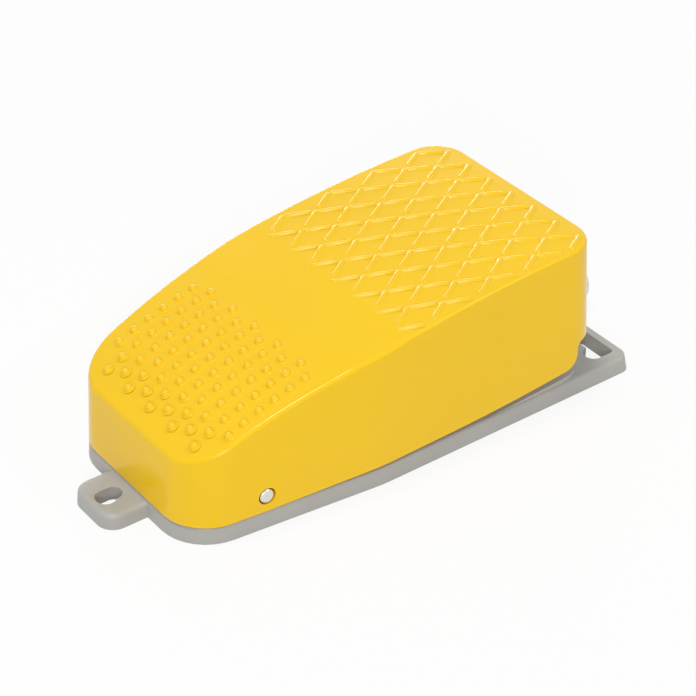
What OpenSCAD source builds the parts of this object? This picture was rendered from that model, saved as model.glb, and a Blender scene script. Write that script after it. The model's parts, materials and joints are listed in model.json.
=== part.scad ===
// Industrial foot switch: a die-cast base plate with a pivoting cast pedal cover over a basic switch.
// +X is the pin side seen first, +Y points to the cable end, +Z is up. The origin is on the floor
// under the middle of the base.

/* [Base] */
// Length of the base from the front tab to the rear edge
base_len = 187.2; // [185:0.1:193]
// Width of the base over its straight sides
base_w = 82.8; // [81:0.1:88]
// Height of the rim that runs round the base
rim_h = 5.8; // [5:0.1:6.5]
// Radius of the two front corners
front_r = 17; // [12:0.5:20]
// Radius of the two rear ear corners
ear_r = 4; // [2:0.5:8]
// Angle of each side where the base narrows to the front
taper_angle = 6; // [3:0.1:7]
// Distance from the rear edge to where the sides start to narrow
straight_len = 105; // [99:0.5:111]
// Width of the front fixing tab
tab_w = 22.3; // [18:0.1:28]
// Length of the front fixing tab
tab_len = 14.4; // [13.5:0.1:18]
// Step from the rim down to the top of the tab
tab_step = 0.8; // [0.2:0.1:1.5]
// Thickness of the base floor
floor_t = 3; // [2.5:0.1:3.5]
// Height of the wall that stands inside the pedal
inner_wall_h = 13; // [11.5:0.1:14]
// Thickness of that wall
inner_wall_t = 2.3; // [1.8:0.1:3]
// Distance from the rear edge of the base to the back of that wall
wall_setback = 15.9; // [14:0.1:19]

/* [Fixing slots] */
// Width of the front slot
front_slot_w = 6.2; // [5:0.1:7]
// Length of the front slot
front_slot_len = 9.1; // [9:0.1:10.5]
// Width of the two rear slots
rear_slot_w = 6.2; // [5:0.1:7]
// Length of the two rear slots
rear_slot_len = 16.3; // [12:0.1:18]
// Distance between the middles of the rear slots
rear_slot_pitch = 56.3; // [54:0.1:58]
// Metal between the rear slots and the rear edge
rear_slot_land = 3.8; // [3:0.1:5]

/* [Pedal] */
// Wall thickness of the pedal
pedal_wall = 2.5; // [2:0.1:2.8]
// Thickness of the pedal's tread plate
tread_t = 3; // [2.5:0.1:4]
// Height of the tread at its highest point
crown_h = 57.4; // [55:0.1:62]
// Radius of the rear part of the tread, seen from the side
crown_rear_r = 515; // [430:1:600]
// Radius of the front part of the tread, seen from the side
crown_front_r = 208; // [180:1:240]
// Radius of the rounding along the edges of the tread
edge_r = 1.3; // [1:0.1:2.5]
// Draft of the pedal's front and rear walls
end_draft = 4.2; // [2:0.1:6]
// Radius of the pedal's front corners
pedal_front_r = 16; // [12:0.5:19]
// Radius of the pedal's rear corners
pedal_rear_r = 12; // [8:0.5:16]
// How far the pedal's sides stand in from the base's sides
pedal_inset = 0.3; // [0:0.1:0.8]
// Length of the pedal at rim height
pedal_len = 158.4; // [156:0.1:160]
// Gap between rim and pedal at rest, in front of the pivot, and at the end of travel
skirt_gap = 0.35; // [0.3:0.05:0.8]
// Height of the pedal's rear edge, over the cable entry
rear_edge_h = 20.5; // [20:0.1:24]
// Pedal travel, as an angle
press_angle = 1.4; // [0.8:0.05:1.5]

/* [Tread] */
// Height of the dots and bars
relief_h = 0.6; // [0.3:0.1:0.8]
// Radius of the balls that the dots are cut from
dot_r = 1.7; // [1.5:0.1:1.8]
// Distance between the dots across the pedal
dot_across = 6.1; // [5.6:0.1:6.4]
// Distance between the dots along the pedal
dot_along = 5.6; // [5:0.1:6]
// Width of the bars of the diamonds at their foot
bar_w = 1.9; // [1.2:0.1:2.2]
// Length of the bars
bar_len = 7.9; // [6:0.1:9]
// Width of each diamond
diamond_w = 11.1; // [10:0.1:12]
// Half the length of each diamond
diamond_half = 10.1; // [9:0.1:11]

/* [Pivot] */
// Diameter of the pivot pin
pin_d = 5; // [4:0.1:6]
// Height of the pivot pin above the floor
pin_h = 11.8; // [10.8:0.1:12]
// Distance from the front of the base body to the pivot pin
pin_setback = 27.2; // [25:0.1:32]
// Radial clearance between the pin and the pedal
pin_clearance = 0.05; // [0.02:0.01:0.1]

/* [Basic switch] */
// Length of the basic switch's case
switch_len = 49.2; // [46:0.1:52]
// Width of the case
switch_w = 17.5; // [16:0.1:20]
// Height of the case
switch_h = 24.2; // [22:0.1:25]
// Distance between the case's two mounting holes
switch_pitch = 25.4; // [22:0.1:28]
// Distance from the middle of the base to the middle of the switch
switch_y = 11.5; // [6:0.5:16]
// Diameter of the switch's plunger
plunger_d = 8; // [6:0.1:9]
// Height of the plunger's top above the case
plunger_h = 6.2; // [5.5:0.1:7]

/* [Cable entry] */
// Diameter of the gland's thread
gland_d = 12; // [11:0.1:12.5]
// Diameter of the hole for the cable
cable_d = 7; // [5:0.1:7.5]
// Height of the cable entry above the floor
gland_h = 9.5; // [9.2:0.1:9.8]
// Width across the gland's flats
gland_af = 15; // [14.5:0.1:16]

/* [Return springs] */
// Mean diameter of each return spring
spring_d = 12; // [10.5:0.1:14]
// Diameter of the spring wire
wire_d = 1.3; // [1:0.1:1.6]
// Number of turns in each spring
spring_turns = 6.5; // [5:0.5:9]
// Distance between the two springs
spring_pitch = 44; // [42:0.5:48]
// Distance from the middle of the base to the springs
spring_y = 49.5; // [46:0.5:53]
// Height of the springs' upper seat
spring_top = 32; // [28:0.5:36]

/* [Hidden] */

$fn = 48;
base_color = [0.64, 0.63, 0.60];
pedal_color = [0.96, 0.76, 0.18];
steel_color = [0.78, 0.78, 0.76];
zinc_color = [0.70, 0.69, 0.64];
brass_color = [0.80, 0.66, 0.32];
black_color = [0.10, 0.10, 0.11];
brown_color = [0.30, 0.16, 0.10];

fit = 0.02;                                  // a fixed pin or screw in its hole
rest_gap = 0.3;                              // pieces that come close but don't touch
thin = 0.02;                                 // a slice of a hull

rear_y = base_len / 2;
tab_y = -base_len / 2;
front_y = tab_y + tab_len;
taper_y = rear_y - straight_len;
bend_r = 60;                                 // where the straight side turns into the taper
base_draft = 4;
tab_r = 6;
base_edge_r = 1.2;

pin_y = front_y + pin_setback;
pedal_front_y = front_y + 0.5;
pedal_rear_y = pedal_front_y + pedal_len;
crown_peak_y = pedal_rear_y - 3;
crown_join_y = front_y + 53.8;               // where the tread's two radii meet
inner_inset = pedal_inset + pedal_wall;      // the pedal's inner face, from the base outline
wall_inset = pedal_wall + 1.4;
wall_y = rear_y - wall_setback;
cavity_inset = wall_inset + inner_wall_t;
skirt_h = rim_h + skirt_gap;
skirt_bend_y = crown_join_y + 40;            // behind this the pedal's edge curves upwards
skirt_bend_r = 588;
tail_y = pedal_rear_y - 11;                  // where the rear cut-out starts
tail_r = 5.5;

// Points of an arc round c, from angle a0 to a1
function arc(c, r, a0, a1, n) =
    [for (i = [0:n]) let (a = a0 + (a1 - a0) * i / n) [c[0] + r * cos(a), c[1] + r * sin(a)]];

// Middle of the front corner, between the front face and the tapered side
function corner_mid(w, yf, r) =
    [w / 2 - (r + (taper_y - yf - r) * sin(taper_angle)) / cos(taper_angle), yf + r];

// Right half of the outline: front corner, bend, rear corner
function right_half(w, yf, r, yr, rr, inset) = concat(
    arc(corner_mid(w, yf, r), r - inset, -90, -taper_angle, 8),
    arc([w / 2 - bend_r, taper_y + bend_r * tan(taper_angle / 2)], bend_r - inset, -taper_angle, 0, 2),
    arc([w / 2 - rr, yr - rr], rr - inset, 0, 90, 6));

function both_halves(p) = concat(p, [for (i = [len(p) - 1:-1:0]) [-p[i][0], p[i][1]]]);

// Outline of the base, drawn in by inset, with its rear edge at yr before that
function outline(inset, yr, rr) = both_halves(right_half(base_w, front_y, front_r, yr, rr, inset));

// Height of the tread above the floor at y: a flat arc behind, a tighter one in front
crown_mid = [crown_peak_y, crown_h - crown_rear_r];
join_z = crown_mid[1] + sqrt(pow(crown_rear_r, 2) - pow(crown_join_y - crown_peak_y, 2));
crown_front_mid = [crown_join_y, join_z]
    + (crown_mid - [crown_join_y, join_z]) * crown_front_r / crown_rear_r;
function crown_z(y) = y > crown_join_y
    ? crown_mid[1] + sqrt(pow(crown_rear_r, 2) - pow(y - crown_mid[0], 2))
    : crown_front_mid[1] + sqrt(pow(crown_front_r, 2) - pow(y - crown_front_mid[0], 2));

module slice(inset, yr, rr, z) {
    translate([0, 0, z]) linear_extrude(thin) polygon(outline(inset, yr, rr));
}

// Extrude a side view (y, z) to both sides of the middle
module across(w) {
    rotate([90, 0, 90]) translate([0, 0, -w / 2]) linear_extrude(w) children();
}

// ---- base ----

gland_boss_w = gland_d + 12;
gland_boss_h = gland_h + gland_d / 2 + 1;
boss_r = 4.5;
screw_r = 2;                                 // M4 screws throughout
seat_h = floor_t + 3;                        // top of the screw seats
foot_t = 1.5;
bracket_x = switch_w / 2 + 9.25;             // line of the bracket's two screws
bracket_pitch = switch_pitch - 1.4;
clamp_y = wall_y - 18;
clamp_pitch = cable_d + 12;
clamp_h = gland_h + cable_d / 2 - 0.3;       // the clamp bar presses on the cable
earth_pos = [15.4 - base_w / 2, switch_y + 10];
pad_x = base_w / 2 - inner_inset - 0.6;
pad_y = pedal_rear_y - 23;
pad_len = 5;
lug_r = 7.5;
lug_out = corner_mid(base_w, front_y, front_r)[0] + front_r * cos(taper_angle)
    + (pin_y - lug_r - front_y - front_r) * tan(taper_angle) - inner_inset - 0.6;
lug_t = 5.3;

function half_width(y) = y > taper_y ? base_w / 2 : base_w / 2 - (taper_y - y) * tan(taper_angle);

module base_plate() {
    hull() {
        slice(0, rear_y, ear_r, 0);
        for (a = [0:30:90])
            slice(rim_h * tan(base_draft) + base_edge_r * (1 - cos(a)), rear_y, ear_r + base_edge_r,
                  rim_h - base_edge_r * (1 - sin(a)) - thin);
    }
}

module tab_slice(inset, z) {
    translate([0, 0, z]) linear_extrude(thin)
        polygon(both_halves(concat(
            arc([tab_w / 2 - tab_r, tab_y + tab_r], tab_r - inset, -90, 0, 8),
            [[tab_w / 2 - inset, front_y + front_r]])));
}

module tab() {
    tab_h = rim_h - tab_step;
    hull() {
        tab_slice(0, 0);
        for (a = [0:30:90])
            tab_slice(tab_h * tan(base_draft) + base_edge_r * (1 - cos(a)),
                      tab_h - base_edge_r * (1 - sin(a)) - thin);
    }
}

// The floor inside the rim rises to the rear, under the pedal's curved edge
module plinth() {
    rise = 1.8;
    foot = 1.5;
    intersection() {
        linear_extrude(rim_h + rise) polygon(outline(foot, wall_y + foot, 14 + foot));
        across(base_w) polygon([[skirt_bend_y + 19, rim_h - 1], [wall_y, rim_h - 1],
                                [wall_y, rim_h + rise], [pedal_rear_y - 14, rim_h + rise],
                                [skirt_bend_y + 19, rim_h]]);
    }
    // Stop pads that the pedal comes down on
    for (s = [-1, 1])
        translate([s * pad_x - 1.1, pad_y - pad_len / 2, rim_h - 1]) cube([2.2, pad_len, 2.05]);
}

module inner_wall() {
    linear_extrude(inner_wall_h) polygon(outline(wall_inset, wall_y + wall_inset, 14 + wall_inset));
}

module cavity() {
    translate([0, 0, floor_t]) linear_extrude(inner_wall_h)
        polygon(outline(cavity_inset, wall_y + wall_inset, 14 + wall_inset));
}

module pivot_lug() {
    for (s = [-1, 1])
        translate([s * (lug_out - lug_t / 2) - lug_t / 2, 0, 0]) {
            translate([0, pin_y, pin_h]) rotate([0, 90, 0]) cylinder(r = lug_r, h = lug_t);
            translate([0, pin_y - lug_r, floor_t - 1]) cube([lug_t, 2 * lug_r, pin_h - floor_t + 1]);
        }
}

module cable_boss() {
    translate([-gland_boss_w / 2, wall_y - inner_wall_t, 0])
        cube([gland_boss_w, rear_y - wall_y + inner_wall_t, gland_boss_h - 3]);
    translate([-gland_boss_w / 2 + 3, wall_y - inner_wall_t, 0])
        cube([gland_boss_w - 6, rear_y - wall_y + inner_wall_t, gland_boss_h]);
    for (s = [-1, 1])
        translate([s * (gland_boss_w / 2 - 3), rear_y, gland_boss_h - 3])
            rotate([90, 0, 0]) cylinder(r = 3, h = rear_y - wall_y + inner_wall_t);
}

module seat(p, h) {
    translate([p[0], p[1], floor_t - 1]) cylinder(r = boss_r, h = h - floor_t + 1);
}

module rear_slot() {
    r = 1.6;
    y = rear_y - rear_slot_land - rear_slot_w / 2;
    x0 = rear_slot_pitch / 2 - rear_slot_len / 2;
    translate([0, 0, -1]) {
        translate([x0 + r, y - rear_slot_w / 2, 0]) cube([rear_slot_len - 2 * r, rear_slot_w, rim_h + 2]);
        translate([x0, y - rear_slot_w / 2 + r, 0]) cube([rear_slot_len, rear_slot_w - 2 * r, rim_h + 2]);
        for (x = [x0 + r, x0 + rear_slot_len - r], v = [-1, 1])
            translate([x, y + v * (rear_slot_w / 2 - r), 0]) cylinder(r = r, h = rim_h + 2);
        // the screw head's way in
        translate([x0 + rear_slot_len - 3.5, y - rear_slot_w / 2, 0]) cylinder(r = 3.5, h = rim_h + 2);
    }
}

module front_slot() {
    r = front_slot_w / 2;
    y0 = tab_y + 2.9;
    translate([0, 0, -1]) {
        for (v = [r, front_slot_len - r]) translate([0, y0 + v, 0]) cylinder(r = r, h = rim_h + 2);
        translate([-r, y0 + r, 0]) cube([2 * r, front_slot_len - 2 * r, rim_h + 2]);
        // the screw head's way in
        translate([0.8, y0 + 3.3, 0]) cylinder(r = 3.3, h = rim_h + 2);
    }
}

module tapped(p, top, depth) {
    translate([p[0], p[1], top - depth]) cylinder(r = screw_r + fit, h = depth + 1);
}

module base_casting() {
    color(base_color) difference() {
        union() {
            base_plate();
            tab();
            difference() {
                union() {
                    plinth();
                    inner_wall();
                }
                cavity();
            }
            pivot_lug();
            cable_boss();
            for (v = [-1, 1]) {
                seat([bracket_x, switch_y + v * bracket_pitch / 2], seat_h);
                seat([v * clamp_pitch / 2, clamp_y], clamp_h);
                seat([v * spring_pitch / 2, spring_y], seat_h + 4);
            }
            seat(earth_pos, seat_h + 1);
        }
        difference() {
            cavity();
            translate([0, 0, -1]) pivot_lug();
            pivot_lug();
            cable_boss();
            for (v = [-1, 1]) {
                seat([bracket_x, switch_y + v * bracket_pitch / 2], seat_h);
                seat([v * clamp_pitch / 2, clamp_y], clamp_h);
                seat([v * spring_pitch / 2, spring_y], seat_h + 4);
            }
            seat(earth_pos, seat_h + 1);
        }
        for (s = [0, 1]) mirror([s, 0, 0]) rear_slot();
        front_slot();
        translate([-base_w, pin_y, pin_h]) rotate([0, 90, 0])
            cylinder(r = pin_d / 2 + fit, h = 2 * base_w);
        translate([0, rear_y + 1, gland_h]) rotate([90, 0, 0])
            cylinder(r = gland_d / 2 + fit, h = rear_y - wall_y + inner_wall_t + 2);
        for (v = [-1, 1]) {
            tapped([bracket_x, switch_y + v * bracket_pitch / 2], seat_h, 4.6);
            tapped([v * clamp_pitch / 2, clamp_y], clamp_h, 8);
        }
        tapped(earth_pos, seat_h + 1, 5.6);
    }
}

// ---- pivot ----

clip_w = 0.8;
clip_x = lug_out - lug_t - clip_w - 0.1;     // inner faces of the lugs
pin_len = 2 * (half_width(pin_y) - pedal_inset / cos(taper_angle) + 0.2);

module along_x() {
    translate([0, pin_y, pin_h]) rotate([0, 90, 0]) children();
}

module pivot_pin() {
    r = pin_d / 2;
    color(steel_color) along_x() difference() {
        union() {
            translate([0, 0, -pin_len / 2 + 0.5]) cylinder(r = r, h = pin_len - 1);
            for (s = [0, 1]) mirror([0, 0, s])
                translate([0, 0, pin_len / 2 - 0.5]) cylinder(r1 = r, r2 = r - 0.5, h = 0.5);
        }
        for (s = [0, 1]) mirror([0, 0, s]) translate([0, 0, clip_x - 0.05]) difference() {
            cylinder(r = r + 1, h = clip_w + 0.1);
            translate([0, 0, -1]) cylinder(r = r - 0.4, h = clip_w + 2);
        }
    }
}

module pin_clips() {
    color(zinc_color) along_x() for (s = [0, 1]) mirror([0, 0, s])
        translate([0, 0, clip_x]) difference() {
            cylinder(r = pin_d / 2 + 2, h = clip_w);
            translate([0, 0, -1]) cylinder(r = pin_d / 2 - 0.4 + fit, h = clip_w + 2);
            translate([-pin_d, -pin_d / 2 + 0.9, -1]) cube([pin_d, pin_d - 1.8, clip_w + 2]);
        }
}

// ---- basic switch on its bracket ----

switch_z = seat_h;
case_h = switch_h * 0.72;
hole_z = switch_z + 6.2;
hole_y = [switch_y - switch_pitch / 2, switch_y + switch_pitch / 2];
switch_top = switch_z + switch_h;
collar_h = 2.6;
plunger_top = switch_top + plunger_h;
plunger_stroke = (switch_y - pin_y) * PI * press_angle / 180;

module switch_case() {
    c = 1;
    color(brown_color) difference() {
        translate([0, switch_y, switch_z]) union() {
            translate([-switch_w / 2, -switch_len / 2 + c, 0]) cube([switch_w, switch_len - 2 * c, case_h]);
            translate([-switch_w / 2 + c, -switch_len / 2, 0]) cube([switch_w - 2 * c, switch_len, case_h]);
            for (u = [-1, 1], v = [-1, 1])
                translate([u * (switch_w / 2 - c), v * (switch_len / 2 - c), 0]) cylinder(r = c, h = case_h);
        }
        for (y = hole_y) translate([-switch_w, y, hole_z]) rotate([0, 90, 0])
            cylinder(r = screw_r + 0.1, h = 2 * switch_w);
        // well of the plunger
        translate([0, switch_y, plunger_top - 17]) cylinder(d = plunger_d - 2 + 0.1, h = 20);
    }
}

module switch_cap() {
    c = 1;
    h = switch_h - case_h;
    color(black_color) difference() {
        translate([0, switch_y, switch_z + case_h]) union() {
            translate([-switch_w / 2, -switch_len / 2 + 6, 0]) cube([switch_w, switch_len - 12, h]);
            translate([-switch_w / 2 + c, -switch_len / 2 + 4, 0]) cube([switch_w - 2 * c, switch_len - 8, h - 2]);
        }
        translate([0, switch_y, 0]) cylinder(d = plunger_d - 2 + 0.1, h = switch_top + 1);
    }
}

module plunger_collar() {
    color(steel_color) translate([0, switch_y, switch_top]) difference() {
        cylinder(d = plunger_d + 4, h = collar_h);
        translate([0, 0, -1]) cylinder(d = plunger_d + 0.1, h = collar_h + 2);
    }
}

module switch_plunger() {
    crown = 1;
    head = plunger_h - plunger_stroke - rest_gap;    // the wide head runs in the collar
    color(steel_color) translate([0, switch_y, plunger_top]) {
        translate([0, 0, -crown]) cylinder(r1 = plunger_d / 2, r2 = plunger_d / 2 - crown, h = crown);
        translate([0, 0, -head]) cylinder(d = plunger_d, h = head - crown);
        translate([0, 0, -14]) cylinder(d = plunger_d - 2, h = 14 - head);
    }
}

// Each terminal: end of the case (-1 front, 1 rear) and height above its foot
terminal_list = [[-1, 8], [1, 8], [1, 14]];
terminal_t = 1;
function terminal_len(t) = t[1] > 10 ? 6.3 : 10;

module at_terminal(t) {
    translate([0, switch_y + t[0] * switch_len / 2, switch_z + t[1]]) mirror([0, t[0] < 0 ? 1 : 0, 0])
        children();
}

module terminals() {
    color(brass_color) for (t = terminal_list) at_terminal(t) difference() {
        translate([-4, 0, 0]) cube([8, terminal_len(t), terminal_t]);
        translate([0, terminal_len(t) - 3, -1]) cylinder(r = 1.6, h = terminal_t + 2);
    }
}

module terminal_screws() {
    color(zinc_color) for (t = terminal_list) at_terminal(t) translate([0, terminal_len(t) - 3, 0]) {
        translate([0, 0, terminal_t]) difference() {
            cylinder(r = 2.8, h = 1.6);
            translate([-3, -0.4, 0.8]) cube([6, 0.8, 1]);
        }
        translate([0, 0, -1.5]) cylinder(r = 1.6 - fit, h = 1.5 + terminal_t);
    }
}

bracket_in = switch_w / 2;
bracket_h = 12.5;

module switch_bracket() {
    len = bracket_pitch + 2 * boss_r + 5;
    color(zinc_color) difference() {
        union() {
            translate([bracket_in, switch_y - len / 2, switch_z]) cube([foot_t, len, bracket_h]);
            translate([bracket_in, switch_y - len / 2, switch_z])
                cube([bracket_x + boss_r + 1 - bracket_in, len, foot_t]);
        }
        for (y = hole_y) translate([0, y, hole_z]) rotate([0, 90, 0]) cylinder(r = screw_r + 0.1, h = switch_w);
        for (v = [-1, 1]) translate([bracket_x, switch_y + v * bracket_pitch / 2, 0])
            cylinder(r = screw_r + 0.1, h = 40);
    }
}

// A pan-head screw, its head sitting on z = 0
module pan_screw(len) {
    translate([0, 0, -len]) cylinder(r = screw_r, h = len);
    difference() {
        union() {
            cylinder(r = 3.8, h = 1.6);
            translate([0, 0, 1.6]) cylinder(r1 = 3.8, r2 = 3, h = 0.8);
        }
        for (a = [0, 90]) rotate([0, 0, a]) translate([-2.2, -0.45, 1.1]) cube([4.4, 0.9, 2]);
    }
}

module bracket_screws() {
    color(zinc_color) for (v = [-1, 1])
        translate([bracket_x, switch_y + v * bracket_pitch / 2, seat_h + foot_t]) pan_screw(5.6);
}

module switch_screws() {
    color(zinc_color) for (y = hole_y)
        translate([-switch_w / 2, y, hole_z]) rotate([0, -90, 0]) pan_screw(switch_w + foot_t + 4);
}

module switch_nuts() {
    color(zinc_color) for (y = hole_y)
        translate([bracket_in + foot_t, y, hole_z]) rotate([0, 90, 0]) difference() {
            rotate([0, 0, 30]) cylinder(d = 7 / cos(30), h = 3, $fn = 6);
            translate([0, 0, -1]) cylinder(r = screw_r + fit, h = 5);
        }
}

// ---- cable entry ----

gland_flange = 4;
gland_in = wall_setback - 2;                 // the part of the gland that fills the boss
gland_thread = 3.6;                          // thread that carries the nut
seal_t = 2.4;
nut_y = gland_flange + rest_gap;
nut_len = gland_thread + seal_t + 1.9;

module along_y() {
    translate([0, rear_y, gland_h]) rotate([-90, 0, 0]) children();
}

module gland_body() {
    color(zinc_color) along_y() difference() {
        union() {
            translate([0, 0, -gland_in]) cylinder(r = gland_d / 2, h = gland_in);
            rotate([0, 0, 30]) cylinder(d = gland_af / cos(30), h = gland_flange, $fn = 6);
            cylinder(r = gland_d / 2 - 0.6, h = gland_flange + gland_thread);
        }
        translate([0, 0, -gland_in - 1]) cylinder(d = cable_d, h = gland_in + 20);
    }
}

module gland_seal() {
    color(black_color) along_y() translate([0, 0, gland_flange + gland_thread]) difference() {
        cylinder(r = gland_d / 2 - 0.7, h = seal_t);
        translate([0, 0, -1]) cylinder(d = cable_d, h = seal_t + 2);
    }
}

module gland_nut() {
    color(zinc_color) along_y() translate([0, 0, nut_y]) difference() {
        union() {
            rotate([0, 0, 30]) cylinder(d = (gland_af - 1) / cos(30), h = nut_len - 3, $fn = 6);
            cylinder(r = gland_af / 2 - 0.5, h = nut_len - 1.5);
            translate([0, 0, nut_len - 1.5]) cylinder(r1 = gland_af / 2 - 0.5, r2 = gland_af / 2 - 2, h = 1.5);
        }
        translate([0, 0, -1]) cylinder(r = gland_d / 2 - 0.6 + fit, h = nut_len - 0.8);
        translate([0, 0, -1]) cylinder(d = cable_d, h = nut_len + 2);
    }
}

clamp_t = 2.5;

module cord_clamp() {
    color(zinc_color) translate([0, clamp_y, clamp_h]) difference() {
        union() {
            translate([-clamp_pitch / 2, -boss_r, 0]) cube([clamp_pitch, 2 * boss_r, clamp_t]);
            for (s = [-1, 1]) translate([s * clamp_pitch / 2, 0, 0]) cylinder(r = boss_r, h = clamp_t);
        }
        for (s = [-1, 1]) translate([s * clamp_pitch / 2, 0, -1]) cylinder(r = screw_r + 0.1, h = clamp_t + 2);
    }
}

module clamp_screws() {
    color(zinc_color) for (s = [-1, 1])
        translate([s * clamp_pitch / 2, clamp_y, clamp_h + clamp_t]) pan_screw(clamp_t + 6.5);
}

earth_h = seat_h + 1;

module earth_washer() {
    color(brass_color) translate([earth_pos[0], earth_pos[1], earth_h]) difference() {
        cylinder(r = 4.4, h = 0.8);
        translate([0, 0, -1]) cylinder(r = screw_r + 0.1, h = 3);
    }
}

module earth_screw() {
    color(brass_color) translate([earth_pos[0], earth_pos[1], earth_h + 0.8]) pan_screw(5.6);
}

// ---- return springs ----

spigot_r = 4.5;

// A round wire wound up from z0 to z1: its end turns lie on each other, the others stand apart
module coil(z0, z1) {
    r = wire_d / 2;
    sides = 6;
    per_turn = 14;
    steps = round(spring_turns * per_turn);
    closed = wire_d * 1.06 / per_turn;       // rise for each step of an end turn
    open = (z1 - z0 - 2 * r - 2 * closed * per_turn) / (steps - 2 * per_turn);
    function rise(i) = closed * min(i, per_turn) + open * max(0, min(i, steps - per_turn) - per_turn)
        + closed * max(0, i - steps + per_turn);
    pts = [for (i = [0:steps], k = [0:sides - 1])
        let (a = 360 * i / per_turn, b = 360 * k / sides + 30, d = spring_d / 2 + r * cos(b))
        [d * cos(a), d * sin(a), z0 + r + rise(i) + r * sin(b)]];
    faces = concat(
        [[for (k = [0:sides - 1]) k]],
        [for (i = [0:steps - 1], k = [0:sides - 1]) let (n = (k + 1) % sides)
            [i * sides + k, (i + 1) * sides + k, (i + 1) * sides + n, i * sides + n]],
        [[for (k = [sides - 1:-1:0]) steps * sides + k]]);
    polyhedron(pts, faces, convexity = 10);
}

module return_spring(s) {
    color(steel_color) translate([s * spring_pitch / 2, spring_y, 0]) coil(floor_t, spring_top);
}

module return_spring_left() { return_spring(-1); }
module return_spring_right() { return_spring(1); }

// ---- pedal ----

// Slices of the pedal at height z: the side walls stand upright, the end walls lean in
function pedal_outline(z, inset) = let (lean = (z - rim_h) * tan(end_draft))
    both_halves(right_half(base_w - 2 * pedal_inset, pedal_front_y + lean, pedal_front_r,
                           pedal_rear_y - lean, pedal_rear_r, inset));

module crown_block(drop) {
    n = 28;
    across(base_w) polygon(concat(
        [[pedal_rear_y + 1, 0], [pedal_front_y - 1, 0]],
        [for (i = [0:n]) let (y = pedal_front_y - 1 + (pedal_len + 2) * i / n) [y, crown_z(y) - drop]]));
}

// The pedal as a block: its outline between rim and tread, cut to the tread's curve
module pedal_block(inset, drop) {
    intersection() {
        hull() for (z = [0, crown_h + 1])
            translate([0, 0, z]) linear_extrude(thin) polygon(pedal_outline(z, inset));
        crown_block(drop);
    }
}

// ---- tread ----

dots_y = front_y + 49.55;                    // the rearmost row of dots
diamonds_y = front_y + 78.05;                // the first row of the diamonds' corners
bar_angle = atan2(diamond_w / 2, diamond_half);
bar_start = 0.5;                             // from the corner of the pattern to the bar
tread_margin = edge_r + 0.7;
tread_corner = 10;

// How steeply the tread rises to the rear at y
function tilt(y) = atan2(crown_z(y + 0.5) - crown_z(y - 0.5), 1);

// Columns of dots: every other column starts half a step further to the front
module dots() {
    for (c = [-5:5]) {
        even = abs(c) % 2 == 0;
        count = even ? 8 : abs(c) == 5 ? 6 : 7;
        for (i = [0:count - 1]) {
            y = dots_y - (i + (even ? 0 : 0.5)) * dot_along;
            translate([c * dot_across, y, crown_z(y) + relief_h - dot_r]) sphere(r = dot_r);
        }
    }
}

// Whether a point lies on the flat of the tread, clear of its rounded edge and rear corners
function on_tread(p) = let (
        u = abs(p[0]) - base_w / 2 + pedal_inset + tread_margin,
        v = p[1] - pedal_rear_y + (crown_h - rim_h) * tan(end_draft) + tread_margin)
    u < 0 && v < 0 && p[1] > diamonds_y - 1.7
        && (min(u, v) < -tread_corner || norm([u + tread_corner, v + tread_corner]) < tread_corner);

// Every corner of the pattern has two bars, which run to its right. Each is [middle, direction]
bar_list = [for (row = [0:8], column = [-5:5], s = [-1, 1])
    let (p = [(column + (row % 2) / 2) * diamond_w, diamonds_y + row * diamond_half],
         d = [sin(bar_angle), s * cos(bar_angle)])
    if (on_tread(p + d * bar_start) && on_tread(p + d * (bar_start + bar_len)))
        [p + d * (bar_start + bar_len / 2), s]];

module diamonds() {
    for (b = bar_list) translate([b[0][0], b[0][1], crown_z(b[0][1])])
        rotate([tilt(b[0][1]), 0, 0]) rotate([0, 0, -b[1] * bar_angle]) rotate([90, 0, 0])
            linear_extrude(bar_len, center = true)
                polygon([[-bar_w / 2, -1], [bar_w / 2, -1], [bar_w / 2 - relief_h / 2, relief_h],
                         [relief_h / 2 - bar_w / 2, relief_h]]);
}

module pedal_skin() {
    hull() for (a = [0:30:90])
        pedal_block(edge_r * (1 - cos(a)), edge_r * (1 - sin(a)));
}

// What is cut from the pedal below its lower edge, seen from the side
module skirt_cut() {
    slope = press_angle;
    bend = [skirt_bend_y, skirt_h + (skirt_bend_y - pin_y) * tan(slope)];
    top_mid = [bend[0] - skirt_bend_r * sin(slope), bend[1] + skirt_bend_r * cos(slope)];
    end_a = asin((tail_y - tail_r - top_mid[0]) / skirt_bend_r);
    end_z = top_mid[1] - skirt_bend_r * cos(end_a);
    across(2 * base_w) polygon(concat(
        [[tab_y, -1], [tab_y, skirt_h], [pin_y, skirt_h]],
        arc(top_mid, skirt_bend_r, -90 + slope, -90 + end_a, 8),
        arc([tail_y - tail_r, end_z + tail_r], tail_r, -90 + end_a, 0, 5),
        arc([tail_y + 2, rear_edge_h - 2], 2, 180, 90, 3),
        [[rear_y + 10, rear_edge_h], [rear_y + 10, -1]]));
}

module hang(p, r, bottom) {
    translate([p[0], p[1], bottom]) cylinder(r = r, h = crown_z(p[1]) - tread_t / 2 - bottom);
}

screw_head_z = plunger_top + rest_gap;
screw_head_t = 3.2;
lock_nut_t = 3;
screw_boss_z = screw_head_z + screw_head_t + lock_nut_t;
adjust_r = 2.5;

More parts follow.
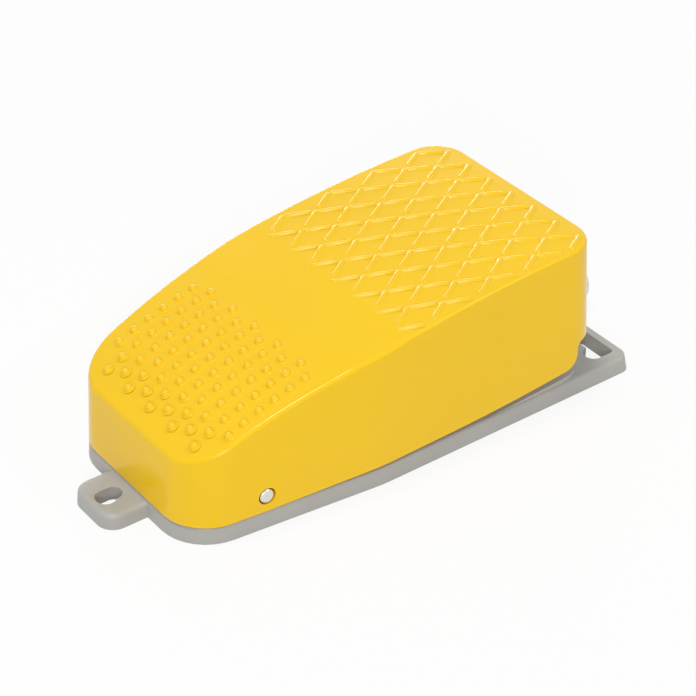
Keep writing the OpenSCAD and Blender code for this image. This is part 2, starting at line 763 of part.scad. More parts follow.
module pedal_cover() {
    color(pedal_color) difference() {
        union() {
            difference() {
                pedal_skin();
                pedal_block(pedal_wall, tread_t);
                skirt_cut();
            }
            dots();
            diamonds();
            hang([0, switch_y], 6.5, screw_boss_z);
            for (s = [-1, 1]) {
                hang([s * spring_pitch / 2, spring_y], spring_d / 2 + 1.6, spring_top);
                hang([s * spring_pitch / 2, spring_y], spigot_r, spring_top - 5);
            }
        }
        along_x() translate([0, 0, -base_w]) cylinder(r = pin_d / 2 + pin_clearance, h = 2 * base_w);
        for (s = [0, 1]) mirror([s, 0, 0]) along_x()
            translate([0, 0, pin_len / 2 - 1.2]) cylinder(r = pin_d / 2 + 0.45, h = 10);
        translate([0, switch_y, 0]) cylinder(r = adjust_r + fit, h = screw_boss_z + 9);
    }
}

module adjusting_screw() {
    color(zinc_color) translate([0, switch_y, screw_head_z]) {
        cylinder(d = 8 / cos(30), h = screw_head_t, $fn = 6);
        cylinder(r = adjust_r, h = screw_head_t + lock_nut_t + 8);
    }
}

module lock_nut() {
    color(zinc_color) translate([0, switch_y, screw_boss_z - lock_nut_t]) difference() {
        cylinder(d = 8 / cos(30), h = lock_nut_t, $fn = 6);
        translate([0, 0, -1]) cylinder(r = adjust_r + fit, h = lock_nut_t + 2);
    }
}

base_casting();
pivot_pin();
pin_clips();
switch_bracket();
bracket_screws();
switch_case();
switch_cap();
plunger_collar();
switch_plunger();
terminals();
terminal_screws();
switch_screws();
switch_nuts();
gland_body();
gland_seal();
gland_nut();
cord_clamp();
clamp_screws();
earth_screw();
earth_washer();
return_spring_left();
return_spring_right();
pedal_cover();
adjusting_screw();
lock_nut();
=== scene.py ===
# %% [markdown]
# # An industrial foot switch
#
# The real thing is two castings hinged on one steel pin: a grey base that is bolted to the floor, and a
# deep yellow pedal over it. The construction is already solid and exact. This lesson dresses it: it makes
# the castings again with soft edges and a raised tread, gives each piece its finish, and lights it.
#
# Everything is in metres, in the frame of the construction: +X is the side with the pin's near end,
# +Y points to the cable, +Z is up, and the floor is at zero.

# %% Load the construction
import json
import math

import bmesh
import bpy
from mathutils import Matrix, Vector


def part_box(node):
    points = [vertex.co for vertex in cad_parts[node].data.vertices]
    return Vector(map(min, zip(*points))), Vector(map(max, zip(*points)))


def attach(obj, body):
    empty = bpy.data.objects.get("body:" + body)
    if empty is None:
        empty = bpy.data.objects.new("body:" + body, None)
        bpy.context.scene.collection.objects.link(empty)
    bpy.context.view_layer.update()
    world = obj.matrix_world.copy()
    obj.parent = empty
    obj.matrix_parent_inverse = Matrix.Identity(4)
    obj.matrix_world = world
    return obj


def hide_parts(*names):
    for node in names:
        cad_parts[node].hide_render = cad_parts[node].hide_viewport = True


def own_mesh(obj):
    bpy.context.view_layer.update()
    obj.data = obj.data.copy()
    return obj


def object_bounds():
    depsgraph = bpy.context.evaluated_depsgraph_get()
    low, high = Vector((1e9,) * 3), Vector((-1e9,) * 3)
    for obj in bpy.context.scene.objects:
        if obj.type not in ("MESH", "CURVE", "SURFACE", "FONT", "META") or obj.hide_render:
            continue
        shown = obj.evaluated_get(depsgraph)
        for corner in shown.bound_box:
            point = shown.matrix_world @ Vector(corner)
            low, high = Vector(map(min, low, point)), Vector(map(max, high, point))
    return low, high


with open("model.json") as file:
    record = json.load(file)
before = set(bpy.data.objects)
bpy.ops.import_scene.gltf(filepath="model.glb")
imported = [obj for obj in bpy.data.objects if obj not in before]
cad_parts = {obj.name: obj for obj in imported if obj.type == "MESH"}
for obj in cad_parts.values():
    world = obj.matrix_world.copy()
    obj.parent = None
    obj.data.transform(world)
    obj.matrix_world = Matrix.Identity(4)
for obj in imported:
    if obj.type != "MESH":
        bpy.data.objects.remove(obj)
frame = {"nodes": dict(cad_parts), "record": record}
solid_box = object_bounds()
solids = frame["nodes"]
low_corner, high_corner = [[round(v, 4) for v in corner] for corner in solid_box]
print(len(solids), "pieces, from", low_corner, "to", high_corner)

# %% [markdown]
# ## Camera
#
# A product shot is taken from far away with a long lens, so that parallel edges stay nearly parallel.
# The camera stands at the pedal's front corner and looks down at about 35 degrees. It comes first,
# because what it sees decides how much detail each piece needs.

# %% Camera
scene = bpy.context.scene


def look_at(thing, target):
    thing.rotation_euler = (Vector(target) - thing.location).to_track_quat("-Z", "Y").to_euler()


bpy.ops.object.camera_add(location=(0.4748, -0.34695, 0.4359))
camera = bpy.context.object
camera.name = "product_camera"
camera.data.lens = 115.45
camera.data.sensor_width = 36
look_at(camera, (-0.0250, 0.02425, 0))
scene.camera = camera
scene.view_settings.view_transform = "Standard"
print("camera", round(camera.location.length, 3), "m from the origin")

# %% [markdown]
# ## Small tools
#
# Every piece below is made the way it is made by hand: add a primitive, open it in edit mode, select a
# few faces or edges, and press a key. These helpers do the clicking. `pick` selects by place or by
# direction, `saw` cuts along a plane and throws one side away, and `round_off` is the bevel key.

# %% Selecting and cutting
MM = 0.001


def activate(piece):
    if bpy.context.object and bpy.context.object.mode != "OBJECT":
        bpy.ops.object.mode_set(mode="OBJECT")
    bpy.ops.object.select_all(action="DESELECT")
    piece.select_set(True)
    bpy.context.view_layer.objects.active = piece


def settle(piece, name):
    """Put the object back at the origin, with its place in its mesh."""
    activate(piece)
    bpy.ops.object.transform_apply(location=True, rotation=True, scale=True)
    piece.name = piece.data.name = name
    return piece


def pick(piece, kind, wanted=lambda item: True):
    """Open the piece in edit mode with the wanted vertices, edges or faces selected."""
    activate(piece)
    bpy.ops.object.mode_set(mode="EDIT")
    bpy.ops.mesh.select_mode(type=kind)
    bpy.ops.mesh.select_all(action="DESELECT")
    mesh = bmesh.from_edit_mesh(piece.data)
    mesh.normal_update()
    items = {"VERT": mesh.verts, "EDGE": mesh.edges, "FACE": mesh.faces}[kind]
    found = [item for item in items if wanted(item)]
    for item in found:
        item.select_set(True)
    bmesh.update_edit_mesh(piece.data)
    return len(found)


def close(piece):
    bpy.ops.object.mode_set(mode="OBJECT")
    return piece


def saw(piece, point, normal):
    """Cut along a plane, keep what lies behind it, and fill the cut."""
    pick(piece, "FACE")
    bpy.ops.mesh.bisect(plane_co=Vector(point) * MM, plane_no=normal, use_fill=True, clear_outer=True)
    close(piece)


def round_off(piece, wanted, radius, segments):
    """Round the wanted edges. The radius is in millimetres."""
    count = pick(piece, "EDGE", wanted)
    if count:
        bpy.ops.mesh.bevel(offset=radius * MM, segments=segments, affect="EDGES", clamp_overlap=False)
    close(piece)
    return count


# %% Primitives at their size and place
def block(name, low, high):
    bpy.ops.mesh.primitive_cube_add(size=1, location=[(a + b) / 2 * MM for a, b in zip(low, high)])
    piece = bpy.context.object
    piece.scale = [(b - a) * MM for a, b in zip(low, high)]
    return settle(piece, name)


def rod(name, start, length, radius, axis="Z", sides=48):
    turn = {"X": (0, math.pi / 2, 0), "Y": (-math.pi / 2, 0, 0), "Z": (0, 0, 0)}[axis]
    along = Vector([letter == axis for letter in "XYZ"])
    bpy.ops.mesh.primitive_cylinder_add(vertices=sides, radius=radius * MM, depth=length * MM, rotation=turn,
                                        location=(Vector(start) + along * length / 2) * MM)
    return settle(bpy.context.object, name)


def apply(piece, kind, **settings):
    """Add a modifier, set it up and apply it."""
    activate(piece)
    modifier = piece.modifiers.new(kind.title(), kind)
    for key, value in settings.items():
        setattr(modifier, key, value)
    bpy.ops.object.modifier_apply(modifier=modifier.name)
    return piece


def combine(piece, other, operation):
    apply(piece, "BOOLEAN", object=other, operation=operation, solver="EXACT")
    bpy.data.objects.remove(other)
    return piece


def join(pieces, name):
    activate(pieces[0])
    for piece in pieces[1:]:
        piece.select_set(True)
    bpy.ops.object.join()
    pieces[0].name = pieces[0].data.name = name
    return pieces[0]


def smooth(piece, angle=35):
    activate(piece)
    bpy.ops.object.shade_smooth_by_angle(angle=math.radians(angle))
    return piece


# %% [markdown]
# A side view is drawn as it is on paper: one vertex is extruded from point to point, the last point is
# joined to the first, the outline is filled, and the face is pulled sideways into a solid.

# %% A solid from its side view
def arc(middle, radius, start, end, steps):
    """Points round a middle, from one angle to another, in degrees."""
    return [(middle[0] + radius * math.cos(math.radians(start + (end - start) * i / steps)),
             middle[1] + radius * math.sin(math.radians(start + (end - start) * i / steps)))
            for i in range(steps + 1)]


def side_view(name, points, half_width):
    """A solid whose outline (y, z) is seen from the side, as wide as it is told."""
    bpy.ops.mesh.primitive_plane_add(size=1 * MM)
    piece = bpy.context.object
    pick(piece, "VERT")
    bpy.ops.mesh.merge(type="CENTER")
    here = Vector((-half_width, *points[0])) * MM
    bpy.ops.transform.translate(value=here)
    for point in points[1:]:
        there = Vector((-half_width, *point)) * MM
        bpy.ops.mesh.extrude_vertices_move(TRANSFORM_OT_translate={"value": there - here})
        here = there
    bpy.ops.mesh.select_all(action="SELECT")
    bpy.ops.mesh.edge_face_add()
    bpy.ops.mesh.extrude_region_move(TRANSFORM_OT_translate={"value": (2 * half_width * MM, 0, 0)})
    bpy.ops.mesh.select_all(action="SELECT")
    bpy.ops.mesh.normals_make_consistent(inside=False)
    close(piece)
    return settle(piece, name)


# %% [markdown]
# ## Pedal: the block
#
# The pedal is cast in one piece. From above it is a rectangle that narrows to the front, with large
# round corners. From the side its tread is a flat arc behind and a tighter one in front. A block is sawn
# along its four leaning walls, its upright corners are rounded, and then it is cut to the side view.
# The side view also gives the lower edge, which curves up to the rear and steps up over the cable.

# %% Sizes of the pedal, in millimetres
pedal_low, pedal_high = [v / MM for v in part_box("pedal_cover")]
pin_low, pin_high = [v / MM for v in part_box("pivot_pin")]
half_width = pedal_high.x
front = pedal_low.y
rear = front + 158.4
taper = math.radians(6)                 # each side narrows to the front by this much
taper_start = front + 67.3
draft = math.radians(4.2)               # lean of the front and rear walls
front_corner, rear_corner = 16, 12      # radius of the upright corners
rim_height = 5.8                        # top of the base's rim, just under the pedal
pin_y, pin_z = (pin_low.y + pin_high.y) / 2, (pin_low.z + pin_high.z) / 2
crown_top = 57.4                        # the solid's own top is a bar of the tread
crown_peak = front + 155.4              # where the tread is highest
crown_join = front + 53.3               # where the flat arc meets the tighter one
rear_radius, front_radius = 515, 208
wall, tread = 2.5, 3
pedal_size = [round(v, 2) for v in (2 * half_width, rear - front, crown_top)]
print("pedal:", pedal_size, "mm wide, long and high")


# %% The tread's curve, and the line of the lower edge
rear_middle = (crown_peak, crown_top - rear_radius)
join_height = rear_middle[1] + math.sqrt(rear_radius ** 2 - (crown_join - crown_peak) ** 2)
share = front_radius / rear_radius
front_middle = (crown_join + (rear_middle[0] - crown_join) * share,
                join_height + (rear_middle[1] - join_height) * share)
panel_edges = (front + 53.05, front + 74.85)            # two faint steps across the tread
panel_step = 0.16


def crown(y):
    """Height of the tread at y, without its steps."""
    middle, radius = (rear_middle, rear_radius) if y > crown_join else (front_middle, front_radius)
    return middle[1] + math.sqrt(radius ** 2 - (y - middle[0]) ** 2)


def tread_height(y):
    """Height of the tread at y: each panel lies a little lower than the one behind it."""
    return crown(y) - sum(panel_step for edge in panel_edges if y < edge)


def tilt(y):
    """How steeply the tread rises to the rear at y, as an angle."""
    return math.atan2(crown(y + 0.5) - crown(y - 0.5), 1)


def crown_points():
    """The tread from front to rear, with no point near the round corners and a slope at each step."""
    first, last, pitch, slope = front + 18, rear - 14, 4, 0.35
    places = [first + i * pitch for i in range(int((last - first) / pitch) + 1)]
    places = [y for y in places if all(abs(y - edge) > pitch / 2 for edge in panel_edges)]
    places += [edge + side for edge in panel_edges for side in (-slope, slope)]
    return [(y, tread_height(y)) for y in [front - 2] + sorted(places) + [rear + 2]]


tail_y, tail_radius = rear - 11, 5.5    # where the side's lower edge ends, round, under the rear wall
rear_edge = 20.5                        # lower edge of the rear wall, over the cable
skirt = rim_height + 0.35               # lower edge of the side at the pin
press = 1.4                             # the pedal's travel in degrees, which the edge leaves room for
bend_y, bend_radius = crown_join + 40, 588
bend_z = skirt + (bend_y - pin_y) * math.tan(math.radians(press))
bend_middle = (bend_y - bend_radius * math.sin(math.radians(press)),
               bend_z + bend_radius * math.cos(math.radians(press)))
bend_end = math.degrees(math.asin((tail_y - tail_radius - bend_middle[0]) / bend_radius))
bend_low = bend_middle[1] - bend_radius * math.cos(math.radians(bend_end))


def skirt_points():
    """The lower edge, from the rear to the front."""
    points = [(rear + 5, rear_edge)]
    points += arc((tail_y + 2, rear_edge - 2), 2, 90, 180, 4)
    points += arc((tail_y - tail_radius, bend_low + tail_radius), tail_radius, 0, bend_end - 90, 8)
    points += arc(bend_middle, bend_radius, bend_end - 90, press - 90, 10)[1:]
    return points + [(pin_y, skirt), (front - 2, skirt)]


# %% Saw the block and cut it to the side view
def upright(edge):
    rise = edge.verts[0].co - edge.verts[1].co
    return abs(rise.z) > 0.8 * rise.length and rise.length > 3 * MM


def corners(y_test):
    return lambda edge: upright(edge) and y_test((edge.verts[0].co.y + edge.verts[1].co.y) / 2 / MM)


def walls(piece, half, front_y, rear_y, height, lean, side_lean=0.0):
    """Saw a block along its walls. They lean in from the given height."""
    for side in (-1, 1):
        saw(piece, (side * half, 0, height), (side, 0, math.tan(side_lean)))
        saw(piece, (side * half, taper_start, height),
            (side * math.cos(taper), -math.sin(taper), math.tan(side_lean)))
    saw(piece, (0, front_y, height), (0, -1, math.tan(lean)))
    saw(piece, (0, rear_y, height), (0, 1, math.tan(lean)))


shell = block("pedal_shell", (-half_width - 5, front - 8, 0), (half_width + 5, rear + 8, crown_top + 8))
walls(shell, half_width, front, rear, rim_height, draft)
half_turn = (math.pi / 2 - taper) / 2   # half of what the wall turns by at a front corner
side_bend = 60                          # radius where the sides begin to narrow
round_off(shell, corners(lambda y: y < front + 8), front_corner * math.tan(half_turn), 14)
round_off(shell, corners(lambda y: y > rear - 8), rear_corner, 12)
round_off(shell, corners(lambda y: abs(y - taper_start) < 0.5), side_bend * math.tan(taper / 2), 4)
combine(shell, side_view("pedal_side", crown_points() + skirt_points(), half_width + 10), "INTERSECT")


def crowded(vertex):
    """The tread's rim at the round corners, where a strip may end right beside a corner of the rim."""
    x, y, z = vertex.co / MM
    return z > 25 and (y < front + 20 or y > rear - 20)


pick(shell, "VERT", crowded)
bpy.ops.mesh.remove_doubles(threshold=0.6 * MM)
close(shell)
print("pedal block:", len(shell.data.polygons), "faces")

# %% [markdown]
# ## Pedal: the shell
#
# Castings are thin all over. The faces under the lower edge are deleted, which leaves a skin, and the
# Solidify modifier gives it its wall. The long edge round the tread is rounded only afterwards, so that
# the inside stays crisp and the outside gets the soft rim that catches the light.

# %% Open the block below and give it its wall
def below(face):
    middle = face.calc_center_median() / MM
    inner_step = face.normal.y > 0.3 and middle.z < rear_edge + 1 and middle.y < tail_y + 1
    return face.normal.z < -0.3 or inner_step


pick(shell, "FACE", below)
bpy.ops.mesh.delete(type="FACE")
close(shell)
apply(shell, "SOLIDIFY", thickness=wall * MM, offset=-1, use_even_offset=True)


# %% Round the edge of the tread
def tread_edge(edge):
    """Edges between the tread, which looks up, and a wall outside or inside, which is upright."""
    slopes = sorted(face.normal.z for face in edge.link_faces)
    return len(slopes) == 2 and slopes[1] > 0.75 and -0.1 < slopes[0] < 0.3


edge_radius = 1.3
print(round_off(shell, tread_edge, edge_radius, 6), "edges round the tread")

# %% Holes for the pin, with the small gap round its ends
hole_radius, hole_length = 2.95, 24
for side in (-1, 1):
    start = side * half_width - hole_length / 2
    combine(shell, rod("pin_hole", (start, pin_y, pin_z), hole_length, hole_radius, "X", 40), "DIFFERENCE")


# %% [markdown]
# ## Pedal: dots
#
# The front of the tread has raised dots, cast with the pedal. A dot is not a ball cut in half: it is a
# dome that runs out into the surface in a small hollow. One profile is spun round its axis, and the
# dome is copied to each place, tilted as the tread is there.

# %% The profile of a dot
dot_radius, dot_height, dot_foot = 1.95, 1.4, 0.5


def dome_profile(radius, height, foot):
    """Half a dome as (radius, height): a round top that turns into a hollow foot of the given radius."""
    steps, sunk = 6, 0.03
    steepest = 2 * math.atan(height / radius)
    top = radius / math.sin(steepest) - foot
    angles = [steepest * i / steps for i in range(steps + 1)]
    crest = [(top * math.sin(a), height - top * (1 - math.cos(a)) - sunk) for a in angles]
    hollow = [(radius - foot * math.sin(a), foot * (1 - math.cos(a)) - sunk) for a in reversed(angles[:-1])]
    return crest + hollow


def spun(name, profile, steps):
    """Spin a profile (radius, height) round the z axis."""
    bpy.ops.mesh.primitive_plane_add(size=1 * MM)
    piece = bpy.context.object
    pick(piece, "VERT")
    bpy.ops.mesh.merge(type="CENTER")
    here = Vector((profile[0][0], 0, profile[0][1])) * MM
    bpy.ops.transform.translate(value=here)
    for radius, height in profile[1:]:
        there = Vector((radius, 0, height)) * MM
        bpy.ops.mesh.extrude_vertices_move(TRANSFORM_OT_translate={"value": there - here})
        here = there
    bpy.ops.mesh.select_all(action="SELECT")
    bpy.ops.mesh.spin(steps=steps, angle=2 * math.pi, center=(0, 0, 0), axis=(0, 0, 1))
    bpy.ops.mesh.select_all(action="SELECT")
    bpy.ops.mesh.remove_doubles(threshold=0.005 * MM)
    bpy.ops.mesh.normals_make_consistent(inside=False)
    close(piece)
    piece.name = piece.data.name = name
    return piece


def copies(pattern, places, name):
    """Copy a shape to each place (x, y, z, turn) on the tread, and join the copies."""
    made = []
    for x, y, z, turn in places:
        piece = pattern.copy()
        piece.data = pattern.data.copy()
        scene.collection.objects.link(piece)
        piece.rotation_euler = (tilt(y), 0, turn)
        piece.location = Vector((x, y, z)) * MM
        made.append(piece)
    bpy.data.objects.remove(pattern)
    return settle(join(made, name), name)


# %% All the dots
column_pitch, row_pitch = 6.1, 5.6
last_dots = front + 47.65               # the rearmost row; every second column starts half a row before it
pattern_shift = 1.3                     # the whole pattern lies this much to the right of the middle


def dot_places():
    """Seven or eight dots in each column, and six in the outer ones, where the corners are."""
    places = []
    for column in range(-5, 6):
        first, count = (last_dots - row_pitch / 2, 7) if column % 2 else (last_dots, 8)
        if abs(column) == 5:
            count = 6
        for row in range(count):
            x, y = column * column_pitch + pattern_shift, first - row_pitch * row
            places.append((x, y, tread_height(y), 0))
    return places


dot = spun("dot", dome_profile(dot_radius, dot_height, dot_foot), 20)
dots = copies(dot, dot_places(), "tread_dots")
print(len(dot_places()), "dots")

# %% [markdown]
# ## Pedal: the diamond tread
#
# Behind the bare band, short raised bars make diamonds. Every corner of the pattern is the point of an
# arrowhead with two arms, and each arm stops before it meets the next corner, which leaves the gaps.
# A bar is a dome too, pulled apart along its length, and copied along both directions.

# %% One bar
bar_length, bar_radius, bar_height, bar_foot = 8.3, 1.2, 0.5, 0.4


def bar_shape():
    """A dome whose front and rear halves are moved apart."""
    bar = spun("bar", dome_profile(bar_radius, bar_height, bar_foot), 20)
    for side in (-1, 1):
        pick(bar, "VERT", lambda v: v.co.y * side > 0.02 * MM)
        bpy.ops.transform.translate(value=(0, side * (bar_length - bar_radius) / 2 * MM, 0))
        close(bar)
    return bar


# %% All the bars
node_pitch, node_rows = 11.1, 9.25      # from corner to corner of the pattern, across and along
first_nodes = front + 76.7
bar_angle = math.atan2(node_pitch / 2, node_rows)


def inside(x, y):
    """Whether a bar's end lies on the flat of the tread, clear of its rounded edge."""
    margin, corner = 1.6, 10
    side = half_width - margin
    back = rear - (crown_top - rim_height) * math.tan(draft) - margin
    if abs(x) > side or y > back or y < panel_edges[1] + 1:
        return False
    over = (abs(x) - (side - corner), y - (back - corner))
    return min(over) < 0 or math.hypot(*over) < corner


def bar_places(side):
    """Bars that run to the rear (side 1) or to the front (side -1), each from its corner."""
    places = []
    for row in range(10):
        for column in range(-5, 6):
            x = (column + row % 2 / 2) * node_pitch + pattern_shift
            node = Vector((x, first_nodes + row * node_rows))
            step = Vector((math.sin(bar_angle), side * math.cos(bar_angle)))
            ends = [node + step * reach for reach in (bar_foot, bar_length)]
            if all(inside(*end) for end in ends):
                middle = (ends[0] + ends[1]) / 2
                places.append((middle.x, middle.y, tread_height(middle.y), -side * bar_angle))
    return places


bars = [copies(bar_shape(), bar_places(1), "rising_bars"),
        copies(bar_shape(), bar_places(-1), "falling_bars")]
print(len(bar_places(1)) + len(bar_places(-1)), "bars")

# %% [markdown]
# ## Pedal: bosses inside
#
# Under the tread hang the boss of the adjusting screw and the two seats of the springs. They are turned
# shapes, so they start as rods, and their edges are broken.

# %% Bosses under the tread
screw_low, screw_high = [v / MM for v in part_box("adjusting_screw")]
nut_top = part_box("lock_nut")[1].z / MM
spring_low, spring_high = [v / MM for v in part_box("return_spring_right")]
screw_y = (screw_low.y + screw_high.y) / 2
spring_x, spring_y = (spring_low.x + spring_high.x) / 2, (spring_low.y + spring_high.y) / 2


def boss(x, y, bottom, radius):
    piece = rod("boss", (x, y, bottom), crown(y) - tread / 2 - bottom, radius)
    round_off(piece, lambda e: max(v.co.z for v in e.verts) < (bottom + 0.1) * MM, 0.5, 3)
    return piece


bosses = [boss(0, screw_y, nut_top, 6.5)]
for side in (-1, 1):
    bosses.append(boss(side * spring_x, spring_y, spring_high.z, 7.6))          # the spring's seat
    bosses.append(boss(side * spring_x, spring_y, spring_high.z - 5, 4.5))      # the peg inside it

# %% Put the pedal together
pedal = smooth(join([shell, dots] + bars + bosses, "pedal_casting"), 40)
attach(pedal, "pedal")
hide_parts("pedal_cover")
dressed = [(pedal, "pedal_enamel")]
print("pedal:", len(pedal.data.polygons), "faces")

# %% [markdown]
# ## Springs
#
# A spring is drawn wire. Its path is a helix whose end turns lie on each other, worked out turn by turn,
# and a curve with a round section gives the wire. It keeps one shape; the real one flattens under the pedal.

# %% Return springs
def spring(name, middle_x):
    """A coil between its two seats. Wire and coil are radii in millimetres."""
    wire, coil, turns, steps = 0.65, 6, 6.5, 28
    low, high = spring_low.z + wire, spring_high.z - wire
    closed = 2.12 * wire                                    # rise of an end turn, which lies on the next
    open_rise = (high - low - 2 * closed) / (turns - 2)     # rise of each turn between
    points = []
    for i in range(int(turns * steps) + 1):
        turn = i / steps
        first, last = min(turn, 1), max(0, turn - turns + 1)
        between = max(0, min(turn, turns - 1) - 1)
        rise = closed * first + open_rise * between + closed * last
        angle = 2 * math.pi * turn
        points.append((middle_x + coil * math.cos(angle), spring_y + coil * math.sin(angle), low + rise))
    curve = bpy.data.curves.new(name, "CURVE")
    curve.dimensions = "3D"
    curve.bevel_depth = wire * MM
    curve.bevel_resolution = 4
    curve.use_fill_caps = True
    line = curve.splines.new("POLY")
    line.points.add(len(points) - 1)
    for point, place in zip(line.points, points):
        point.co = (*[v * MM for v in place], 1)
    piece = bpy.data.objects.new(name, curve)
    scene.collection.objects.link(piece)
    activate(piece)
    bpy.ops.object.convert(target="MESH")
    return smooth(settle(bpy.context.object, name), 60)


for side, word in ((-1, "left"), (1, "right")):
    coil = spring("spring_" + word, side * spring_x)
    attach(coil, "base")
    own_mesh(coil)
    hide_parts("return_spring_" + word)
    dressed.append((coil, "spring_steel"))

# %% [markdown]
# ## Base and small parts
#
# The base and the small parts already have their true shape as solids. What they lack is what every
# real part has: edges that aren't razor sharp. Each solid is copied, its loose triangles are merged and
# dissolved into flat faces, and a narrow bevel breaks the edges.

# %% Copies with broken edges
def broken_edges(node, name, width, slot, body):
    """Copy a solid, merge its triangles into faces, and bevel its sharp edges by a width in millimetres."""
    original = solids[node]
    piece = original.copy()
    piece.data = original.data.copy()
    piece.parent = None
    piece.matrix_world = original.matrix_world
    scene.collection.objects.link(piece)
    activate(piece)
    pick(piece, "VERT")
    bpy.ops.mesh.remove_doubles(threshold=0.002 * MM)
    bpy.ops.mesh.dissolve_limited(angle_limit=math.radians(1))
    close(piece)
    apply(piece, "BEVEL", width=width * MM, segments=2, limit_method="ANGLE",
          angle_limit=math.radians(40), use_clamp_overlap=True)
    settle(piece, name)
    smooth(piece, 40)
    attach(piece, body)
    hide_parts(node)
    dressed.append((piece, slot))
    return piece


base = broken_edges("base_casting", "base_plate", 0.3, "base_paint", "base")
broken_edges("pivot_pin", "hinge_pin", 0.15, "bright_steel", "base")
broken_edges("gland_body", "gland", 0.25, "plated_brass", "base")
broken_edges("gland_nut", "gland_cap", 0.25, "plated_brass", "base")
broken_edges("gland_seal", "cable_seal", 0.2, "rubber", "base")
print("base:", len(base.data.polygons), "faces")

# %% [markdown]
# ## Finishes
#
# Enamel, cast paint, steel and mouldings all have grain of their own size: the enamel's skin rolls over
# a millimetre or two, cast paint is finely pebbled, and turned steel has rings. `finish` builds this
# from noise in the object's own coordinates. One noise gives slow changes of tone, the other gives the
# relief and the changes of gloss. Numbers that are the same all over are set on the shader itself.

# %% One finish
def finish(name, color, roughness, metallic=0.0, grain=1.0, depth=0.01, tone=0.04, spread=0.05,
           stretch=(1, 1, 1), patch=18.0, detail=3.0, **sockets):
    """Grain and depth are in millimetres. Tone and spread are how far colour and roughness vary."""
    material = bpy.data.materials.new(name)
    material.use_nodes = True
    tree = material.node_tree
    shader = tree.nodes["Principled BSDF"]
    shader.inputs["Metallic"].default_value = metallic
    for socket, value in sockets.items():
        shader.inputs[socket.replace("_", " ")].default_value = value

    place = tree.nodes.new("ShaderNodeTexCoord")
    scale = tree.nodes.new("ShaderNodeMapping")
    scale.inputs["Scale"].default_value = stretch
    tree.links.new(place.outputs["Object"], scale.inputs["Vector"])

    fine = tree.nodes.new("ShaderNodeTexNoise")
    fine.inputs["Scale"].default_value = 1000 / grain
    fine.inputs["Detail"].default_value = detail
    tree.links.new(scale.outputs["Vector"], fine.inputs["Vector"])
    slow = tree.nodes.new("ShaderNodeTexNoise")
    slow.inputs["Scale"].default_value = 1000 / patch
    slow.inputs["Detail"].default_value = 2
    tree.links.new(place.outputs["Object"], slow.inputs["Vector"])

    ramp = tree.nodes.new("ShaderNodeValToRGB")
    ramp.color_ramp.elements[0].position, ramp.color_ramp.elements[1].position = 0.3, 0.7
    ramp.color_ramp.elements[0].color = (*[c * (1 - tone) for c in color], 1)
    ramp.color_ramp.elements[1].color = (*[min(1, c * (1 + tone)) for c in color], 1)
    tree.links.new(slow.outputs["Fac"], ramp.inputs["Fac"])
    tree.links.new(ramp.outputs["Color"], shader.inputs["Base Color"])

    gloss = tree.nodes.new("ShaderNodeMapRange")
    gloss.inputs["From Min"].default_value, gloss.inputs["From Max"].default_value = 0.3, 0.7
    gloss.inputs["To Min"].default_value = max(0.02, roughness - spread)
    gloss.inputs["To Max"].default_value = roughness + spread
    tree.links.new(fine.outputs["Fac"], gloss.inputs["Value"])
    tree.links.new(gloss.outputs["Result"], shader.inputs["Roughness"])

    relief = tree.nodes.new("ShaderNodeBump")
    relief.inputs["Distance"].default_value = depth * MM
    relief.inputs["Strength"].default_value = 1
    tree.links.new(fine.outputs["Fac"], relief.inputs["Height"])
    tree.links.new(relief.outputs["Normal"], shader.inputs["Normal"])
    return material


# %% Each slot of the record gets its finish
finishes = {
    "pedal_enamel": finish("yellow_enamel", (0.83, 0.52, 0.005), 0.2, grain=2.6, depth=0.012, tone=0.012,
                           spread=0.04, patch=45, detail=1.5, Specular_IOR_Level=0.28),
    "base_paint": finish("grey_paint", (0.38, 0.372, 0.35), 0.42, grain=0.9, depth=0.03, tone=0.035,
                         spread=0.06),
    "bright_steel": finish("turned_steel", (0.72, 0.70, 0.66), 0.22, 1, grain=0.5, depth=0.004,
                           stretch=(8, 1, 1)),
    "zinc_steel": finish("zinc_plate", (0.60, 0.61, 0.60), 0.34, 1, grain=0.7, depth=0.006, tone=0.08),
    "spring_steel": finish("spring_wire", (0.48, 0.47, 0.45), 0.3, 1, grain=0.4, depth=0.004, tone=0.1),
    "plated_brass": finish("nickel_plate", (0.69, 0.66, 0.60), 0.2, 1, grain=0.8, depth=0.003),
    "brass": finish("plain_brass", (0.78, 0.58, 0.25), 0.3, 1, grain=0.6, depth=0.005, tone=0.08),
    "rubber": finish("black_rubber", (0.03, 0.03, 0.03), 0.65, grain=0.5, depth=0.02, tone=0.15),
    "switch_moulding": finish("brown_moulding", (0.09, 0.04, 0.025), 0.38, grain=0.6, depth=0.01, tone=0.15,
                              patch=3),
    "black_moulding": finish("black_moulding", (0.02, 0.02, 0.021), 0.45, grain=0.6, depth=0.01, tone=0.1),
}


def dress(piece, material):
    piece.data.materials.clear()
    piece.data.materials.append(material)


for part in frame["record"]["subparts"]:
    for place in solids[part["node"]].material_slots:
        place.material = finishes[part["material_slot"]]
for piece, slot in dressed:
    dress(piece, finishes[slot])
print(len(finishes), "finishes on", len(solids), "solids and", len(dressed), "pieces")

# %% [markdown]
# ## Light and floor
#
# The floor and the world are white to the camera and to anything that mirrors them, but not as light on
# the object. The floor still takes the shadow, because the glow only makes up part of it. The lamps are
# plain softboxes: a main one overhead, one at the right of the front that opens up the walls, a small one
# behind on the right for the line of light along the tread's edge, and a low strip on the left that
# draws the dots and the bars.

# %% What the camera and mirrors see
def math_node(tree, operation, *values):
    node = tree.nodes.new("ShaderNodeMath")
    node.operation = operation
    for socket, value in zip(node.inputs, values):
        if isinstance(value, float):
            socket.default_value = value
        else:
            tree.links.new(value, socket)
    return node.outputs[0]


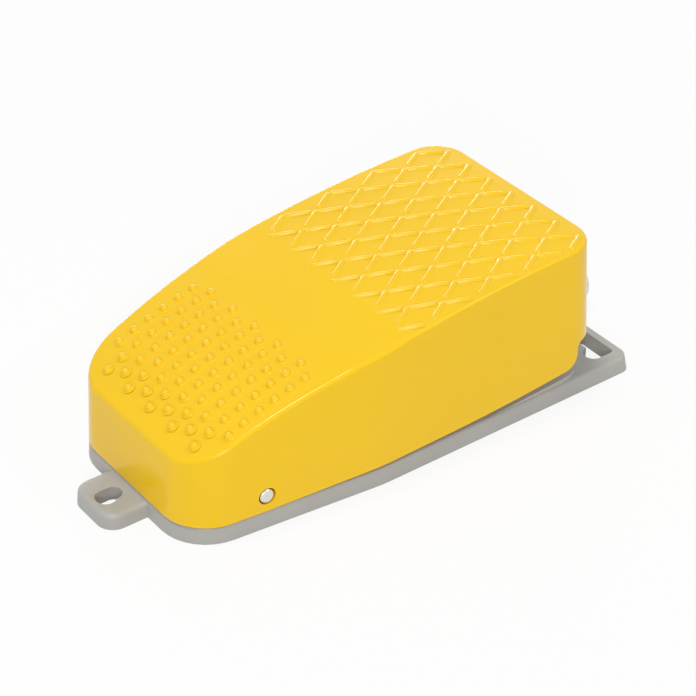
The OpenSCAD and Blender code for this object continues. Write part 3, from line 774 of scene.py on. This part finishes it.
def seen(tree):
    """1 for rays from the camera, a mirror or glass, and 0 for the light that falls on the object."""
    path = tree.nodes.new("ShaderNodeLightPath").outputs
    mirrored = math_node(tree, "MAXIMUM", path["Is Glossy Ray"], path["Is Transmission Ray"])
    return math_node(tree, "MAXIMUM", path["Is Camera Ray"], mirrored)


# %% Floor
bpy.ops.mesh.primitive_plane_add(size=8)
floor = settle(bpy.context.object, "studio_floor")
floor_material = bpy.data.materials.new("white_floor")
floor_material.use_nodes = True
tree = floor_material.node_tree
floor_shader = tree.nodes["Principled BSDF"]
floor_shader.inputs["Base Color"].default_value = (0.8, 0.8, 0.8, 1)
floor_shader.inputs["Roughness"].default_value = 0.9
glow = tree.nodes.new("ShaderNodeEmission")
mix = tree.nodes.new("ShaderNodeMixShader")
tree.links.new(math_node(tree, "MULTIPLY", seen(tree), 0.85), mix.inputs[0])
tree.links.new(floor_shader.outputs[0], mix.inputs[1])
tree.links.new(glow.outputs[0], mix.inputs[2])
tree.links.new(mix.outputs[0], tree.nodes["Material Output"].inputs["Surface"])
dress(floor, floor_material)


# %% Lamps
def softbox(name, place, target, size, power):
    bpy.ops.object.light_add(type="AREA", location=place)
    lamp = bpy.context.object
    lamp.name = name
    lamp.data.shape = "RECTANGLE"
    lamp.data.size, lamp.data.size_y = size
    lamp.data.energy = power
    look_at(lamp, target)


softbox("overhead", (-0.05, -0.15, 1.35), (0, 0, 0), (0.3, 0.3), 7.4)
softbox("right_front", (0.9, -0.75, 0.5), (0, -0.04, 0.02), (0.25, 0.25), 5.0)
softbox("right_back", (0.83, 0.58, 0.9), (0.04, -0.02, 0.05), (0.3, 0.16), 2.0)
softbox("left_back", (-1.28, 0.58, 0.3), (0, 0, 0.05), (1.0, 0.2), 5)
world = bpy.data.worlds.new("studio") if not scene.world else scene.world
scene.world = world
world.use_nodes = True
world.node_tree.nodes["Background"].inputs["Color"].default_value = (1, 1, 1, 1)
strength = math_node(world.node_tree, "MULTIPLY_ADD", seen(world.node_tree), 0.5, 0.5)
world.node_tree.links.new(strength, world.node_tree.nodes["Background"].inputs["Strength"])
